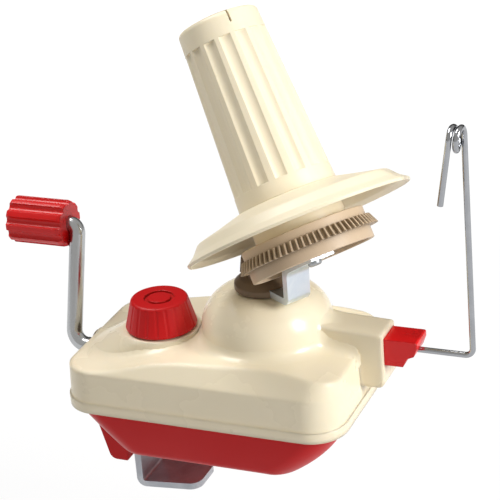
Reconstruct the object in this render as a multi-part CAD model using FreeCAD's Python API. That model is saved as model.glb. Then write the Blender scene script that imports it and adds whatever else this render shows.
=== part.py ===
import FreeCAD, Part
import math
import os

# Hand cranked yarn winder with a tilted cone that clamps to a table edge.
# Millimetres. +Z is up, +X runs along the housing away from the crank, the origin lies in
# the underside of the base tub, where the winder stands on the table top.

V = FreeCAD.Vector

# ---------------------------------------------------------------- housing sizes
BODY_L = 125.0          # length over the lower band of the shell
BODY_W = 77.0           # width over the same band
BODY_R = 15.0           # plan radius of its corners
SHELL_Z = 23.0          # lower edge of the shell above the table top
BAND_H = 4.4            # height of the plain band
BAND_STEP = 0.7         # the skirt is set in above the band
SKIRT_H = 13.8          # height of the drafted skirt
SKIRT_DRAFT = 0.7       # set-in of the skirt over that height
ROOF_H = 12.5           # height of the block that the roof line cuts
ROOF_SIDE = 7.4         # set-in of the roof block along each long side
ROOF_END = 1.4          # set-in of the roof block at each end
WALL = 2.2              # wall of shell and tub
RIDGE_R = 1.0           # rounding along the roof ridge
ROOF_LINE = ((-50.0, 18.9), (-37.5, 20.3), (-20.0, 24.4), (5.0, 26.6), (31.0, 27.5))
ROOF_CRANK_END = 18.4   # height of the roof line over the shell edge at the crank end
ROOF_GUIDE_END = 23.0   # and at the guide end
TUB_TOP_GAP = 0.2       # play of the tub rim inside the shell band
TUB_SIDE_SET = 0.5      # extra play along the long sides
TUB_L = 82.0            # tub underside
TUB_W = 62.5
TUB_R = 14.7
TUB_SHIFT = -1.7        # the underside sits off centre towards the crank
TUB_MID_Z = 10.0        # section where the tub ends bulge most
TUB_FLARE_L = 19.5      # that section is longer and wider than the underside by this
TUB_FLARE_W = 4.9
TUB_MID_SHIFT = 0.25
TUB_EDGE = 5.0          # rounding of the tub foot
LIP_W = 40.0            # jaw guide lip on the crank end
LIP_DROP = 9.7          # how far it hangs below the table top
LIP_TIP = 3.5
LIP_GAP = 0.6           # from its inner face to the jaw leg
LIP_THICK = 8.3         # measured at its lower end
LIP_KNEE_IN = 6.8       # the outer face is straight up to this knee, from the end of the band
LIP_KNEE_Z = 11.1
POST_IN_X = 8.0         # housing screw posts, in from the ends and sides of the tub underside
POST_IN_Y = 7.75
POST_R = 4.0
POST_SPLIT = 20.0       # tub posts end and shell posts begin here
SCREW_R = 1.5           # housing screws
SCREW_HEAD_R = 2.9
SCREW_L = 26.0

# ---------------------------------------------------------------- neck, rotor and spindle
NECK_X = 18.75
AXLE_Y = 3.5            # the crank and the rotor share this plane
NECK_TOP = 70.3
NECK_R = 26.4
NECK_FLARE = 3.0
NECK_BEND = 16.0
SPINDLE_R = 2.5
SPINDLE_END = 0.4       # it stands this much out of the nut on top
SPINDLE_SEAT = 0.8
SUN_NUT_H = 2.4
SUN_NUT_AF = 7.0
RUN = 0.06              # radial running fit
END_PLAY = 0.4          # end play of the crank
SLEEVE_R = 4.0
SLEEVE_END_R = 3.4
SLEEVE_NECK_R = 6.0
BUSH_WALL = 2.6
BUSH_FLANGE_R = 10.5
BUSH_FLANGE_T = 0.8
BUSH_LEN = 8.5
THRUST_T = 0.5
HUB_R = 12.8
HUB_H = 6.2
HUB_RIM_H = 2.6         # straight rim of the hub, a dome above it
SPINDLE_BOSS_H = 4.2    # spindle boss above the tub floor
SPINDLE_BOSS_WALL = 3.5

# ---------------------------------------------------------------- crank and its gears
CRANK_Z = 32.0
ROD_R = 3.0             # rod inside the housing
CRANK_R = 3.5           # rod outside
CRANK_BUSH_WALL = 2.5
CRANK_BUSH_L = 6.0
CRANK_FLANGE_R = 7.6
CRANK_FLANGE_T = 1.2
BUSH_PAD = 3.0          # shell stock round the bush
RIM_NOTCH_GAP = 0.4     # the tub rim stands clear of that stock
ARM_OUT = 13.0          # crank arm beyond the end of the shell
GRIP_Y = 17.5
GRIP_Z = 83.5
ARM_LEAN = 1.0          # the arm comes in by this much towards the grip
ARM_BEND = 6.5
GRIP_BEND = 3.9
GRIP_R = 10.35
GRIP_L = 26.8
GRIP_LOBES = 10
GRIP_GROOVE = 2.0
GRIP_GROOVE_OUT = 0.3    # groove centres beyond the barrel
GRIP_END_GAP = 0.3      # play between the grip and the bend
GEAR_M = 1.0            # module of crown gear and pinion
PINION_N = 11
CROWN_N = 44
CROWN_ADD = 0.8
CROWN_DED = 1.1
CROWN_T = 3.2
CROWN_FACE = 4.6
CROWN_FILL = 0.30       # tooth thickness as a share of the pitch
PINION_H = 6.6
BLOCK_T = 5.0
BLOCK_W = 18.0           # foot of the bearing block
BLOCK_HEAD = 5.6         # half width of its head, and its height above the crank axis
BLOCK_HEAD_R = 5.4

# ---------------------------------------------------------------- cone and its gears
ROTOR_AZ = -32.14       # where the bracket points at rest
TILT = 32.40            # the cone axis leans this much from the spindle
CONE_Z = 99.92          # height of the middle of the cone gear
RING_PITCH_R = 27.7     # its pitch radius there
RING_N = 72
SUN_N = 22
SUN_TOP = 84.6
TOOTH_W = 4.4           # width of the ring gear along its axis
BEVEL_ADD = 0.6
BEVEL_DED = 0.8
BEVEL_FILL = 0.38
RING_LOW_R = 25.8
RING_LOW_S = 7.3
RING_TOP_S = 6.0
RING_WALL = 1.8
RING_WEB = 2.4
GEAR_HUB_R = 6.0
CONE_SCREW_AT = 12.0     # circle of the three cone screws
CONE_SCREW_R = 1.25
CONE_SCREW_L = 10.0
COLLAR_CONE_R = 19.0
FLANGE_R = 47.7
FLANGE_S = 8.85         # rim plane above the middle of the gear
FLANGE_T = 2.0
SPOOL_S = 20.35         # foot of the spool
SPOOL_R0 = 20.6
SPOOL_R1 = 16.8
SPOOL_H = 75.5
SPOOL_CAP = 2.2
SPOOL_WALL = 2.0
FLUTE_N = 16
FLUTE_AT = -8.0
FLUTE_R = 4.6
FLUTE_DEEP = 0.9
FLUTE_START = 6.75
FLUTE_END = 8.85
SLIT_W = 0.8
SLIT_DEEP = 7.0
SLIT_AT = 345.0
BRACKET_T = 3.0
BRACKET_W = 11.3
BRACKET_OUT = 24.0      # outer face of the upright plate
ARM_S = 7.6             # underside of the upper arm below the middle of the gear
AXLE_R = 3.0
AXLE_PIN_R = 2.0
CLIP_T = 0.8

# ---------------------------------------------------------------- clamp
KNOB_X = -26.5
KNOB_Y = -5.5
BOSS_Z = 51.0
BOSS_R = 16.7
BOSS_L = 52.5           # foot of the boss
BOSS_W = 37.0
KNOB_R0 = 15.5
KNOB_R1 = 12.1
KNOB_H = 12.9
KNOB_RING_R = 6.4       # ring recess on top
KNOB_RING_W = 1.4
KNOB_RING_DEEP = 1.0
KNOB_FLUTES = 20
KNOB_FLUTE_R = 1.6
WASHER_T = 0.6
THREAD_R = 3.0
JAW_T = 3.0
JAW_W = 20.0
JAW_OPEN = 22.0         # gap between foot and table face at rest
JAW_REACH = 29.8        # leg face to tip of foot
JAW_RISE = 2.6          # the foot climbs towards its tip
JAW_LEG_BACK = 11.8     # inner face of the leg behind the screw
JAW_NECK_W = 11.0
JAW_NECK_Z = 3.0
JAW_TOP = 29.0
NUT_AF = 10.0
NUT_H = 5.0
SLOT_GAP = 0.5

# ---------------------------------------------------------------- yarn guide
TONGUE_OUT = 9.3        # mouth of the guide socket beyond the end of the band
TONGUE_W = 16.4
TONGUE_Z0 = 33.0
TONGUE_Z1 = 57.3
TONGUE_Y = 4.0
PLUG_W = 13.0
PLUG_UNDER = 5.6        # wire axis above the underside of the plug
PLUG_OVER = 6.0         # top of the plug above the wire axis
PLUG_OUT = 14.0         # end of the plug beyond the socket
PLUG_DEEP = 15.0        # how far the plug sits in its socket
PLUG_GAP = 0.3
WIRE_R = 1.25
WIRE_Z = 49.0
WIRE_OUT = 21.5         # upright of the wire beyond the end of the plug
EYE_BACK = 1.3          # the upright comes in by this much up to the eye
EYE_Z = 143.9
EYE_R = 4.4
EYE_PITCH = 3.4
EYE_SIDES = 8
TAIL_L = 28.5
TAIL_LEAN = 8.7


# ---------------------------------------------------------------- general helpers
def at_angle(radius, degrees, z=0.0):
    turn = math.radians(degrees)
    return V(radius * math.cos(turn), radius * math.sin(turn), z)


def rounded_wire(corners, closed=True):
    """Straight runs joined by tangent arcs. Each corner is (point, radius)."""
    points = [c[0] for c in corners]
    count = len(points)
    starts = []
    ends = []
    middles = []
    for i in range(count):
        p = points[i]
        radius = corners[i][1]
        inner = closed or 0 < i < count - 1
        if radius <= 0 or not inner:
            starts.append(p)
            ends.append(p)
            middles.append(None)
            continue
        back = (points[i - 1] - p).normalize()
        ahead = (points[(i + 1) % count] - p).normalize()
        half = back.getAngle(ahead) / 2.0
        reach = radius / math.tan(half)
        bisector = (back + ahead).normalize()
        centre = p + bisector * (radius / math.sin(half))
        starts.append(p + back * reach)
        ends.append(p + ahead * reach)
        middles.append(centre - bisector * radius)
    edges = []
    for i in range(count):
        if middles[i] is not None:
            edges.append(Part.Arc(starts[i], middles[i], ends[i]).toShape())
        if i == count - 1 and not closed:
            break
        follow = starts[(i + 1) % count]
        if (follow - ends[i]).Length > 1e-6:
            edges.append(Part.LineSegment(ends[i], follow).toShape())
    return Part.Wire(edges)


def flat(corners, normal_axis="z", offset=0.0):
    """Face through 2-D corners (a, b, radius) in the plane square to one axis."""
    places = {"z": lambda a, b: V(a, b, offset), "y": lambda a, b: V(a, offset, b),
              "x": lambda a, b: V(offset, a, b)}
    place = places[normal_axis]
    return Part.Face(rounded_wire([(place(c[0], c[1]), c[2]) for c in corners]))


def side_prism(corners, y0, y1):
    """Outline in the X-Z plane carried from y0 to y1."""
    return flat(corners, "y", y0).extrude(V(0, y1 - y0, 0))


def turned(corners):
    """Half section (radius, height, rounding) turned about the Z axis."""
    return flat(corners, "y").revolve(V(0, 0, 0), V(0, 0, 1), 360)


def rod(radius, z0, z1, x=0.0, y=0.0):
    return Part.makeCylinder(radius, z1 - z0, V(x, y, z0))


def tube(outer, inner, z0, z1, x=0.0, y=0.0):
    return rod(outer, z0, z1, x, y).cut(rod(inner, z0, z1, x, y))


def rod_x(radius, x0, x1, y, z):
    return Part.makeCylinder(radius, x1 - x0, V(x0, y, z), V(1, 0, 0))


def box(x0, x1, y0, y1, z0, z1):
    return Part.makeBox(x1 - x0, y1 - y0, z1 - z0, V(x0, y0, z0))


def plan_wire(length, width, radius, x, y, z):
    """Rectangle with round corners, flat at height z."""
    a = length / 2.0
    b = width / 2.0
    corners = [(x - a, y - b), (x + a, y - b), (x + a, y + b), (x - a, y + b)]
    return rounded_wire([(V(c[0], c[1], z), radius) for c in corners])


def drafted(sections, ruled=True):
    return Part.makeLoft([plan_wire(*s) for s in sections], True, ruled)


def moved(shape, x=0.0, y=0.0, z=0.0):
    done = shape.copy()
    done.translate(V(x, y, z))
    return done


def turned_by(shape, degrees, centre=V(0, 0, 0), axis=V(0, 0, 1)):
    done = shape.copy()
    done.rotate(centre, axis, degrees)
    return done


def ring_of(shape, count, axis=V(0, 0, 1), centre=V(0, 0, 0)):
    return [turned_by(shape, 360.0 * i / count, centre, axis) for i in range(count)]


def hexagon(across, z0, z1, x, y):
    radius = across / math.sqrt(3.0)
    points = [at_angle(radius, 60.0 * i) + V(x, y, z0) for i in range(6)]
    return Part.Face(Part.makePolygon(points + points[:1])).extrude(V(0, 0, z1 - z0))


def toothed_wire(root, tip, teeth, root_fill, tip_fill, z, phase=0.0):
    """Closed outline of a gear with straight flanks, a tooth centred on the phase angle."""
    pitch = 360.0 / teeth
    points = []
    for i in range(teeth):
        middle = phase + i * pitch
        points.append(at_angle(root, middle - pitch * root_fill / 2.0, z))
        points.append(at_angle(tip, middle - pitch * tip_fill / 2.0, z))
        points.append(at_angle(tip, middle + pitch * tip_fill / 2.0, z))
        points.append(at_angle(root, middle + pitch * root_fill / 2.0, z))
    return Part.makePolygon(points + points[:1])


# ---------------------------------------------------------------- sizes that follow
BAND_TOP = SHELL_Z + BAND_H
SKIRT_TOP = BAND_TOP + SKIRT_H
ROOF_TOP = SKIRT_TOP + ROOF_H
RIM_L = BODY_L - 2 * (WALL + TUB_TOP_GAP)
RIM_W = BODY_W - 2 * (WALL + TUB_TOP_GAP + TUB_SIDE_SET)
RIM_R = BODY_R - WALL
END_X = BODY_L / 2.0
POST_X = TUB_L / 2.0 - POST_IN_X
POST_Y = TUB_W / 2.0 - POST_IN_Y
FLOOR = WALL
SEAT_Z = FLOOR + SPINDLE_BOSS_H
SLEEVE_Z0 = SEAT_Z + THRUST_T
HUB_Z0 = NECK_TOP + THRUST_T
HUB_Z1 = HUB_Z0 + HUB_H
PINION_R = GEAR_M * PINION_N / 2.0
CROWN_R = GEAR_M * CROWN_N / 2.0
CROWN_PITCH_X = NECK_X - PINION_R
CROWN_ROOT_X = CROWN_PITCH_X - CROWN_DED
CROWN_BACK_X = CROWN_ROOT_X - CROWN_T
PINION_Z0 = SLEEVE_Z0 + THRUST_T
ARM_X = -END_X - ARM_OUT
CRANK_BUSH_R = ROD_R + CRANK_BUSH_WALL
BUSH_PAD_R = CRANK_BUSH_R + BUSH_PAD
GRIP_ARM_X = ARM_X + ARM_LEAN
GRIP_X1 = GRIP_ARM_X - CRANK_R - GRIP_END_GAP
GRIP_X0 = GRIP_X1 - GRIP_L
JAW_LEG_X = KNOB_X - JAW_LEG_BACK
LEG_X0 = JAW_LEG_X - JAW_T
LIP_FACE = LEG_X0 - LIP_GAP
FOOT_Z = -JAW_OPEN - JAW_T
NUT_TOP = JAW_TOP - JAW_T
KNOB_Z0 = BOSS_Z + WASHER_T
RATIO = RING_N / SUN_N
LEAN = math.radians(TILT)
RING_CONE = math.atan(math.sin(LEAN) / (1.0 / RATIO + math.cos(LEAN)))
SUN_CONE = LEAN - RING_CONE
APEX_D = RING_PITCH_R / math.tan(RING_CONE)
APEX_H = CONE_Z + APEX_D * math.cos(LEAN)
HALF_TOOTH = TOOTH_W / 2.0
HUB_BASE_S = -ARM_S + BRACKET_T + 1.0
TONGUE_X = END_X + TONGUE_OUT
PLUG_X0 = TONGUE_X - PLUG_DEEP
PLUG_X1 = TONGUE_X + PLUG_OUT
PLUG_Z0 = WIRE_Z - PLUG_UNDER
PLUG_Z1 = WIRE_Z + PLUG_OVER
POST_WIRE_X = PLUG_X1 + WIRE_OUT
EYE_X = POST_WIRE_X - EYE_BACK
NUT_Z1 = SUN_TOP + SUN_NUT_H
SPINDLE_TOP = NUT_Z1 + SPINDLE_END
FLANGE_PLATE_S = SPOOL_S - FLANGE_T


# ---------------------------------------------------------------- frames of the moving groups
def on_rotor(shape):
    """From the rotor's own frame (spindle at the origin, bracket along +X) into place."""
    return moved(turned_by(shape, ROTOR_AZ), NECK_X, AXLE_Y)


def on_cone(shape):
    """From the cone's own frame (axis up, middle of its gear at the origin) into place."""
    leaned = turned_by(shape, -TILT, V(0, 0, 0), V(0, 1, 0))
    out = APEX_D * math.sin(LEAN)
    return on_rotor(moved(leaned, out, 0, APEX_H - APEX_D * math.cos(LEAN)))


def cone_point(s, t):
    """Point in the rotor frame's X-Z plane, s along the cone axis and t square to it."""
    out = APEX_D * math.sin(LEAN) - s * math.sin(LEAN) + t * math.cos(LEAN)
    high = APEX_H - APEX_D * math.cos(LEAN) + s * math.cos(LEAN) + t * math.sin(LEAN)
    return out, high


# ---------------------------------------------------------------- shell
def body_form(inset):
    """Skirt and sloping roof, as the outer form or set in by the wall."""
    def section(step, z, side=0.0, end=0.0):
        cut = step + inset
        length = BODY_L - 2 * (cut + end)
        width = BODY_W - 2 * (cut + side)
        return (length, width, max(BODY_R - cut - side * 0.6, 2.0), 0, 0, z)
    step = BAND_STEP
    top = BAND_STEP + SKIRT_DRAFT
    low = SHELL_Z if inset == 0 else SHELL_Z - 1.0
    band = drafted([section(0, low), section(0, BAND_TOP)])
    skirt = drafted([section(step, BAND_TOP), section(top, SKIRT_TOP - inset)])
    roof = drafted([section(top, SKIRT_TOP - inset), section(top, ROOF_TOP, ROOF_SIDE, ROOF_END)])
    route = [(-END_X, ROOF_CRANK_END), *ROOF_LINE, (END_X, ROOF_GUIDE_END)]
    points = [V(p[0], 0, SHELL_Z + p[1] - inset) for p in route]
    line = Part.BSplineCurve()
    line.interpolate(points)
    wide = BODY_W
    low_z = SKIRT_TOP - 1.0 - inset
    first = V(points[0].x, 0, low_z)
    last = V(points[-1].x, 0, low_z)
    edges = [line.toShape(), Part.LineSegment(points[-1], last).toShape(),
             Part.LineSegment(last, first).toShape(), Part.LineSegment(first, points[0]).toShape()]
    under = Part.Face(Part.Wire(edges)).extrude(V(0, wide, 0))
    under.translate(V(0, -wide / 2.0, 0))
    roof = roof.common(under)
    if inset == 0:
        ridge = [e for e in roof.Edges if is_ridge(e)]
        roof = roof.makeFillet(RIDGE_R, ridge)
    return band.fuse([skirt, roof])


def is_ridge(edge):
    """Edges between the roof surface and the slopes round it."""
    bounds = edge.BoundBox
    return bounds.ZMin > SKIRT_TOP + 0.05 and bounds.ZMax > SKIRT_TOP + 0.6


def neck_form(inset):
    top = NECK_TOP - inset
    return moved(turned([(0, SKIRT_TOP - 5, 0), (NECK_R + NECK_FLARE - inset, SKIRT_TOP - 5, 0),
                         (NECK_R - inset, top, NECK_BEND - inset), (0, top, 0)]), NECK_X, AXLE_Y)


def boss_form(inset):
    foot = (BOSS_L - 2 * inset, BOSS_W - 2 * inset, BOSS_W / 2 - inset - 1.5,
            KNOB_X - BOSS_L / 2 + BOSS_R + 1.3, KNOB_Y, SKIRT_TOP - 1.0 - inset)
    wide = 2 * (BOSS_R - inset)
    head = (wide, wide, wide / 2 - 0.01, KNOB_X, KNOB_Y, BOSS_Z - inset)
    return drafted([foot, head])


def tongue_form():
    """Hood that runs from the neck to the mouth of the guide socket."""
    y0 = TONGUE_Y - TONGUE_W / 2
    y1 = TONGUE_Y + TONGUE_W / 2
    neck_end = NECK_X + 20.0
    inner = BODY_L / 2 - 6.0
    outline = [(neck_end, SKIRT_TOP + 4, 0), (inner, SKIRT_TOP, 0), (inner, TONGUE_Z0, 0),
               (TONGUE_X, TONGUE_Z0, 3.0), (TONGUE_X, TONGUE_Z1, 1.2), (BODY_L / 2 - 12, TONGUE_Z1 + 0.9, 20),
               (neck_end, TONGUE_Z1 + 3.0, 0)]
    solid = side_prism(outline, y0, y1)
    long_edges = [e for e in solid.Edges if e.BoundBox.YLength < 0.1 and e.BoundBox.ZMin > TONGUE_Z0 - 1
                  and e.BoundBox.XMax > inner + 0.5 and e.BoundBox.XMin > neck_end + 0.5]
    return solid.makeFillet(1.0, long_edges)


def top_shell():
    outer = body_form(0).fuse([neck_form(0), boss_form(0), tongue_form()])
    inner = body_form(WALL).fuse([neck_form(WALL), boss_form(WALL)])
    shell = outer.cut(inner)
    ribs = []
    for sx in (-1, 1):
        for sy in (-1, 1):
            ribs.append(rod(POST_R, POST_SPLIT, SKIRT_TOP + 8, sx * POST_X, sy * POST_Y))
    bush_r = SLEEVE_NECK_R + RUN + BUSH_WALL
    ribs.append(rod(bush_r + WALL, NECK_TOP - BUSH_LEN, NECK_TOP - WALL / 2, NECK_X, AXLE_Y))
    half = TONGUE_W / 2
    ribs.append(box(PLUG_X0 - WALL, BODY_L / 2 - 3, TONGUE_Y - half, TONGUE_Y + half,
                    PLUG_Z0 - WALL, TONGUE_Z1 - 0.5))
    ribs.append(rod_x(BUSH_PAD_R, -END_X, -END_X + CRANK_BUSH_L, AXLE_Y, CRANK_Z))
    ribs.append(rod(THREAD_R + 3.0, BOSS_Z - WALL - 2.0, BOSS_Z - WALL / 2, KNOB_X, KNOB_Y))
    shell = shell.fuse([r.common(outer) for r in ribs[:-2]] + ribs[-2:])
    holes = [rod(bush_r, NECK_TOP - BUSH_LEN - 1, NECK_TOP + 1, NECK_X, AXLE_Y),
             rod(BUSH_FLANGE_R, NECK_TOP - BUSH_FLANGE_T, NECK_TOP + 1, NECK_X, AXLE_Y),
             rod(THREAD_R + 0.3, BOSS_Z - WALL - 3, BOSS_Z + 1, KNOB_X, KNOB_Y),
             rod_x(CRANK_BUSH_R, -END_X - 1, -END_X + CRANK_BUSH_L + 1, AXLE_Y, CRANK_Z)]
    gap = PLUG_GAP
    holes.append(box(PLUG_X0 - gap, TONGUE_X + 1, TONGUE_Y - PLUG_W / 2 - gap, TONGUE_Y + PLUG_W / 2 + gap,
                     PLUG_Z0 - gap, PLUG_Z1 + gap))
    for sx in (-1, 1):
        for sy in (-1, 1):
            holes.append(rod(SCREW_R, POST_SPLIT - 1, SCREW_L + 5, sx * POST_X, sy * POST_Y))
    return shell.cut(holes)


# ---------------------------------------------------------------- base tub
def tub_form(inset):
    rise = inset
    edge = max(TUB_EDGE - inset, 1.0)
    low = (TUB_L - 2 * inset, TUB_W - 2 * inset, TUB_R - inset, TUB_SHIFT, 0, rise)
    mid = (TUB_L + TUB_FLARE_L - 2 * inset, TUB_W + TUB_FLARE_W - 2 * inset, TUB_R - inset, TUB_MID_SHIFT, 0, TUB_MID_Z)
    rim = (RIM_L - 2 * inset, RIM_W - 2 * inset, RIM_R + 0.4 - inset, 0, 0, SHELL_Z)
    form = drafted([low, mid, rim], False)
    foot = [e for e in form.Edges if e.BoundBox.ZMax < rise + 0.01]
    form = form.makeFillet(edge, foot)
    top = BAND_TOP if inset == 0 else BAND_TOP + 1.0
    rim_up = list(rim)
    rim_up[5] = top
    return form.fuse(drafted([rim, tuple(rim_up)]))


def lip_form():
    left_rim = -RIM_L / 2
    outline = [(left_rim + 0.3, SHELL_Z - 0.5, 0), (LIP_KNEE_IN - END_X, LIP_KNEE_Z, 30),
               (LIP_FACE - LIP_THICK, -LIP_DROP, LIP_TIP),
               (LIP_FACE, -LIP_DROP, 1.0), (LIP_FACE, TUB_MID_Z, 0), (LIP_FACE, SHELL_Z - 0.5, 0)]
    return side_prism(outline, -LIP_W / 2, LIP_W / 2)


def base_tub():
    outer = tub_form(0).fuse(lip_form())
    tub = outer.cut(tub_form(WALL))
    posts = []
    holes = []
    for sx in (-1, 1):
        for sy in (-1, 1):
            posts.append(rod(POST_R, FLOOR - 1, POST_SPLIT, sx * POST_X, sy * POST_Y))
            holes.append(rod(SCREW_R + 0.2, -1, POST_SPLIT + 1, sx * POST_X, sy * POST_Y))
            holes.append(rod(SCREW_HEAD_R + 0.4, -1, 3.0, sx * POST_X, sy * POST_Y))
    posts.append(rod(SPINDLE_R + SPINDLE_BOSS_WALL, FLOOR - 1, SEAT_Z, NECK_X, AXLE_Y))
    posts.append(rod(THREAD_R + 2.0, FLOOR - 1, FLOOR + 2.0, KNOB_X, KNOB_Y))
    holes.append(rod(SPINDLE_R, SPINDLE_SEAT, SEAT_Z + 1, NECK_X, AXLE_Y))
    holes.append(rod(THREAD_R + 0.1, FLOOR - 1, FLOOR + 3, KNOB_X, KNOB_Y))
    half = JAW_W / 2 + SLOT_GAP
    holes.append(box(LIP_FACE, JAW_LEG_X + SLOT_GAP, KNOB_Y - half, KNOB_Y + half, -LIP_DROP - 1, POST_SPLIT))
    notch_r = BUSH_PAD_R + RIM_NOTCH_GAP
    holes.append(rod_x(notch_r, -END_X, -END_X + CRANK_BUSH_L + RIM_NOTCH_GAP, AXLE_Y, CRANK_Z))
    return tub.fuse(posts).cut(holes)


def housing_screws():
    one = rod(SCREW_R, 2.0, SCREW_L).fuse(turned([(0, 0.8, 0), (SCREW_HEAD_R - 0.5, 0.8, 0),
                                                 (SCREW_HEAD_R, 1.4, 0), (SCREW_HEAD_R, 3.0, 0), (0, 3.0, 0)]))
    places = [(sx * POST_X, sy * POST_Y) for sx in (-1, 1) for sy in (-1, 1)]
    return Part.makeCompound([moved(one, p[0], p[1]) for p in places])


# ---------------------------------------------------------------- clamp
def clamp_knob():
    z0 = KNOB_Z0
    z1 = z0 + KNOB_H
    ring = KNOB_RING_R
    well = z1 - KNOB_RING_DEEP
    knob = turned([(0, z0, 0), (KNOB_R0, z0, 0.8), (KNOB_R1, z1, 1.6), (ring, z1, 0.3), (ring, well, 0),
                   (ring - KNOB_RING_W, well, 0), (ring - KNOB_RING_W, z1, 0.3), (0, z1, 0)])
    lean = math.degrees(math.atan2(KNOB_R0 - KNOB_R1, KNOB_H))
    flute = turned_by(rod(KNOB_FLUTE_R, 0, KNOB_H * 1.3), -lean, V(0, 0, 0), V(0, 1, 0))
    flute = moved(flute, KNOB_R0 + 1.0, 0, z0 + KNOB_FLUTE_R)
    knob = knob.cut(ring_of(flute, KNOB_FLUTES))
    knob = knob.cut(rod(THREAD_R, z0 - 1, z0 + KNOB_H * 0.6))
    return moved(knob, KNOB_X, KNOB_Y)


def clamp_screw():
    low = FLOOR + 0.4
    return rod(THREAD_R, low, KNOB_Z0 + KNOB_H * 0.6, KNOB_X, KNOB_Y)


def knob_washer():
    return tube(8.0, THREAD_R + RUN, BOSS_Z, KNOB_Z0, KNOB_X, KNOB_Y)


def screw_clip():
    top = BOSS_Z - WALL - 2.0
    return tube(5.6, THREAD_R, top - CLIP_T, top, KNOB_X, KNOB_Y)


def clamp_jaw():
    """Bent strip: foot, leg, narrow neck and flange over the jaw nut."""
    outer = JAW_T + 1.0
    tip = JAW_LEG_X + JAW_REACH - JAW_T
    flange_end = KNOB_X + 6.5
    outline = [(LEG_X0, FOOT_Z, outer), (tip, FOOT_Z + JAW_RISE, 0), (tip, FOOT_Z + JAW_RISE + JAW_T, 0),
               (JAW_LEG_X, -JAW_OPEN, 1.0), (JAW_LEG_X, NUT_TOP, 1.0), (flange_end, NUT_TOP, 0),
               (flange_end, JAW_TOP, 0), (LEG_X0, JAW_TOP, outer)]
    strip = side_prism(outline, KNOB_Y - JAW_W / 2, KNOB_Y + JAW_W / 2)
    side = JAW_W / 2
    neck = JAW_NECK_W / 2
    for s in (-1, 1):
        ys = sorted((KNOB_Y + s * neck, KNOB_Y + s * (side + 1)))
        strip = strip.cut(box(LEG_X0 - 1, flange_end + 1, ys[0], ys[1], JAW_NECK_Z, JAW_TOP + 1))
    corner = [e for e in strip.Edges if e.BoundBox.XMin > tip - 0.01 and e.BoundBox.YLength < 0.01]
    strip = strip.makeFillet(5.0, corner)
    return strip.cut(rod(THREAD_R + 0.2, NUT_TOP - 1, JAW_TOP + 1, KNOB_X, KNOB_Y))


def jaw_nut():
    nut = hexagon(NUT_AF, NUT_TOP - NUT_H, NUT_TOP, KNOB_X, KNOB_Y)
    return nut.cut(rod(THREAD_R + RUN, NUT_TOP - NUT_H - 1, NUT_TOP + 1, KNOB_X, KNOB_Y))


# ---------------------------------------------------------------- crank
def crank_rod():
    shoulder = -END_X - CRANK_FLANGE_T - END_PLAY / 2
    route = [(V(shoulder, AXLE_Y, CRANK_Z), 0), (V(ARM_X, AXLE_Y, CRANK_Z), ARM_BEND),
             (V(GRIP_ARM_X, GRIP_Y, GRIP_Z), GRIP_BEND), (V(GRIP_X0 + 1.6, GRIP_Y, GRIP_Z), 0)]
    path = rounded_wire(route, False)
    section = Part.Wire(Part.makeCircle(CRANK_R, route[0][0], V(1, 0, 0)))
    bent = path.makePipeShell([section], True, False)
    inner = rod_x(ROD_R, shoulder, CROWN_ROOT_X, AXLE_Y, CRANK_Z)
    return bent.fuse(inner).removeSplitter()


def crank_grip():
    """Fluted barrel that turns freely on the upper end of the rod."""
    length = GRIP_L
    barrel = turned([(0, 0, 0), (GRIP_R - 0.6, 0, 0.6), (GRIP_R, 2.0, 0), (GRIP_R, length, 0.8), (0, length, 0)])
    groove = rod(GRIP_GROOVE, -1, length + 1, GRIP_R + GRIP_GROOVE_OUT, 0)
    barrel = barrel.cut(ring_of(groove, GRIP_LOBES))
    barrel = barrel.cut(rod(CRANK_R + RUN, -1, length + 1))
    barrel = barrel.cut(rod(CRANK_R + 2.2, length - 3.4, length + 1))
    barrel.rotate(V(0, 0, 0), V(0, 1, 0), -90)
    return moved(barrel, GRIP_X1, GRIP_Y, GRIP_Z)


def grip_nut():
    return rod_x(CRANK_R + 1.6, GRIP_X0 + 1.0, GRIP_X0 + 1.8, GRIP_Y, GRIP_Z).fuse(
        rod_x(CRANK_R + 1.0, GRIP_X0 + 1.6, GRIP_X0 + 3.0, GRIP_Y, GRIP_Z)).cut(
        rod_x(CRANK_R, GRIP_X0 + 1.6, GRIP_X0 + 4, GRIP_Y, GRIP_Z))


def crank_bush():
    x0 = -END_X
    x1 = x0 + CRANK_BUSH_L
    flange = rod_x(CRANK_FLANGE_R, x0 - CRANK_FLANGE_T, x0, AXLE_Y, CRANK_Z)
    body = rod_x(CRANK_BUSH_R, x0 - CRANK_FLANGE_T, x1, AXLE_Y, CRANK_Z)
    return flange.fuse(body).cut(rod_x(ROD_R + RUN, x0 - 3, x1 + 1, AXLE_Y, CRANK_Z))


def crank_clip():
    x0 = -END_X + CRANK_BUSH_L + END_PLAY
    ring = rod_x(ROD_R + 2.4, x0, x0 + CLIP_T, AXLE_Y, CRANK_Z)
    return ring.cut(rod_x(ROD_R, x0 - 1, x0 + 2, AXLE_Y, CRANK_Z))


def bearing_block():
    x1 = CROWN_BACK_X - 2.0
    x0 = x1 - BLOCK_T
    foot = BLOCK_W / 2
    head = BLOCK_HEAD
    post = flat([(AXLE_Y - foot, FLOOR, 0), (AXLE_Y + foot, FLOOR, 0), (AXLE_Y + head, CRANK_Z + head, BLOCK_HEAD_R),
                 (AXLE_Y - head, CRANK_Z + head, BLOCK_HEAD_R)], "x", x0).extrude(V(BLOCK_T, 0, 0))
    return post.cut(rod_x(ROD_R + RUN, x0 - 1, x1 + 1, AXLE_Y, CRANK_Z))


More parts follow.
